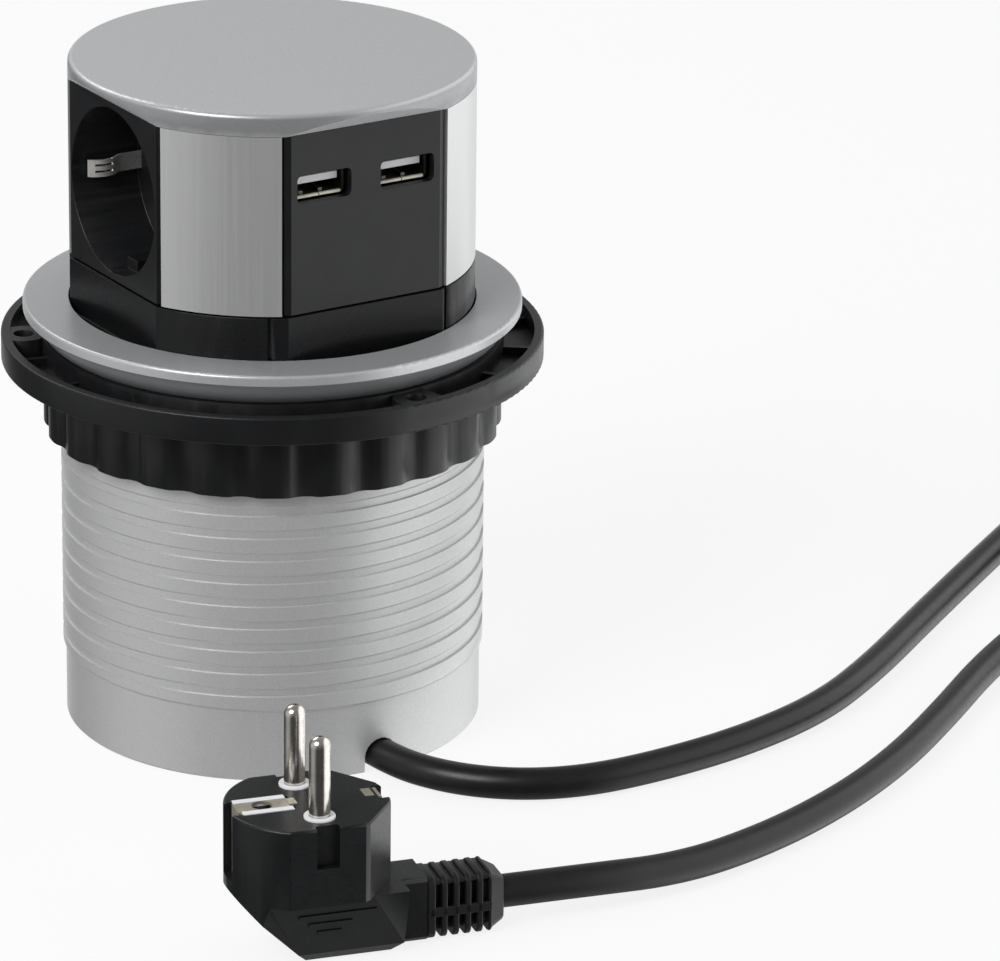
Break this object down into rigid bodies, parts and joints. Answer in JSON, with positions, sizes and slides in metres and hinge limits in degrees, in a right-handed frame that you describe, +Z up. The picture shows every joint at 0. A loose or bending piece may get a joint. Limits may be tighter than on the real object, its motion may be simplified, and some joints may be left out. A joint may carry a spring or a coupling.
{
  "type": "pop up desk socket",
  "caption": "Round desk-hole socket tower that pulls up out of a threaded tube, with earthed sockets, charging ports, a clamping ring and nut, and a mains lead.",
  "frame": {"origin": "on the floor plane at the bottom of the tube, on the tube's axis", "axes": "+Z up along the tube, -Y out of the face with the two charging ports, +X out of a socket face"},
  "size_m": [0.4228, 0.2097, 0.1622],
  "materials": {
    "tube_alloy": "satin silver lacquer, fine thread",
    "ring_alloy": "turned and satin anodised",
    "cap_alloy": "smooth satin silver lacquer",
    "panel_alloy": "brushed upright",
    "black_plastic": "fine grained moulding",
    "black_gloss": "smooth moulding",
    "white_plastic": "plain moulding",
    "contact_metal": "nickel plated",
    "brass": "plain stamped",
    "steel": "zinc plated",
    "rubber": "plain",
    "cable_black": "smooth extruded sheath",
    "board": "green circuit board",
    "transformer_yellow": "taped winding",
    "capacitor_can": "printed sleeve, bare"
  },
  "bodies": {
    "base": {"outer_tube": "tube_alloy", "flange_ring": "ring_alloy", "bottom_cover": "black_plastic", "cover_screws": "steel", "cord_gland": "black_plastic", "cable_clamp": "black_plastic", "clamp_screws": "steel", "inner_lead": "cable_black", "cord_from_tube": "cable_black", "cord_coil": "cable_black", "cord_to_plug": "cable_black", "plug_body": "black_gloss", "plug_strain_relief": "black_gloss", "plug_pins": "contact_metal", "plug_pin_collars": "white_plastic", "plug_earth_frame": "white_plastic", "plug_earth_contacts": "contact_metal"},
    "head": {"cap": "cap_alloy", "panel_right": "panel_alloy", "panel_rear_right": "panel_alloy", "panel_rear_left": "panel_alloy", "panel_left": "panel_alloy", "core_housing": "black_plastic", "carriage": "black_plastic", "friction_ring": "rubber", "head_screws": "steel", "socket_insert_right": "black_plastic", "socket_insert_rear": "black_plastic", "socket_insert_left": "black_plastic", "earth_clip_right": "contact_metal", "earth_clip_rear": "contact_metal", "earth_clip_left": "contact_metal", "live_sleeves": "brass", "neutral_sleeves": "brass", "live_bus": "brass", "neutral_bus": "brass", "usb_plate": "black_plastic", "usb_shells": "contact_metal", "usb_tongues": "white_plastic", "usb_board": "board", "transformer": "transformer_yellow", "capacitors": "capacitor_can"},
    "clamp_ring": {"mounting_ring": "black_plastic"},
    "nut": {"clamp_nut": "black_plastic"}
  },
  "joints": [
    {"name": "head_lift", "type": "slide", "parent": "base", "child": "head", "axis": [0, 0, 1], "range_m": [-0.0586, 0], "deforming": ["inner_lead"]},
    {"name": "clamp_slide", "type": "slide", "parent": "base", "child": "clamp_ring", "axis": [0, 0, 1], "range_m": [-0.0504, 0]},
    {"name": "nut_turn", "type": "hinge", "parent": "clamp_ring", "child": "nut", "pos_m": [0, 0, 0.0804], "axis": [0, 0, 1], "range_deg": [-3240, 0]}
  ],
  "couplings": [
    {"joint": "nut_turn", "follows": "clamp_slide", "rad_per_m": 1122}
  ]
}
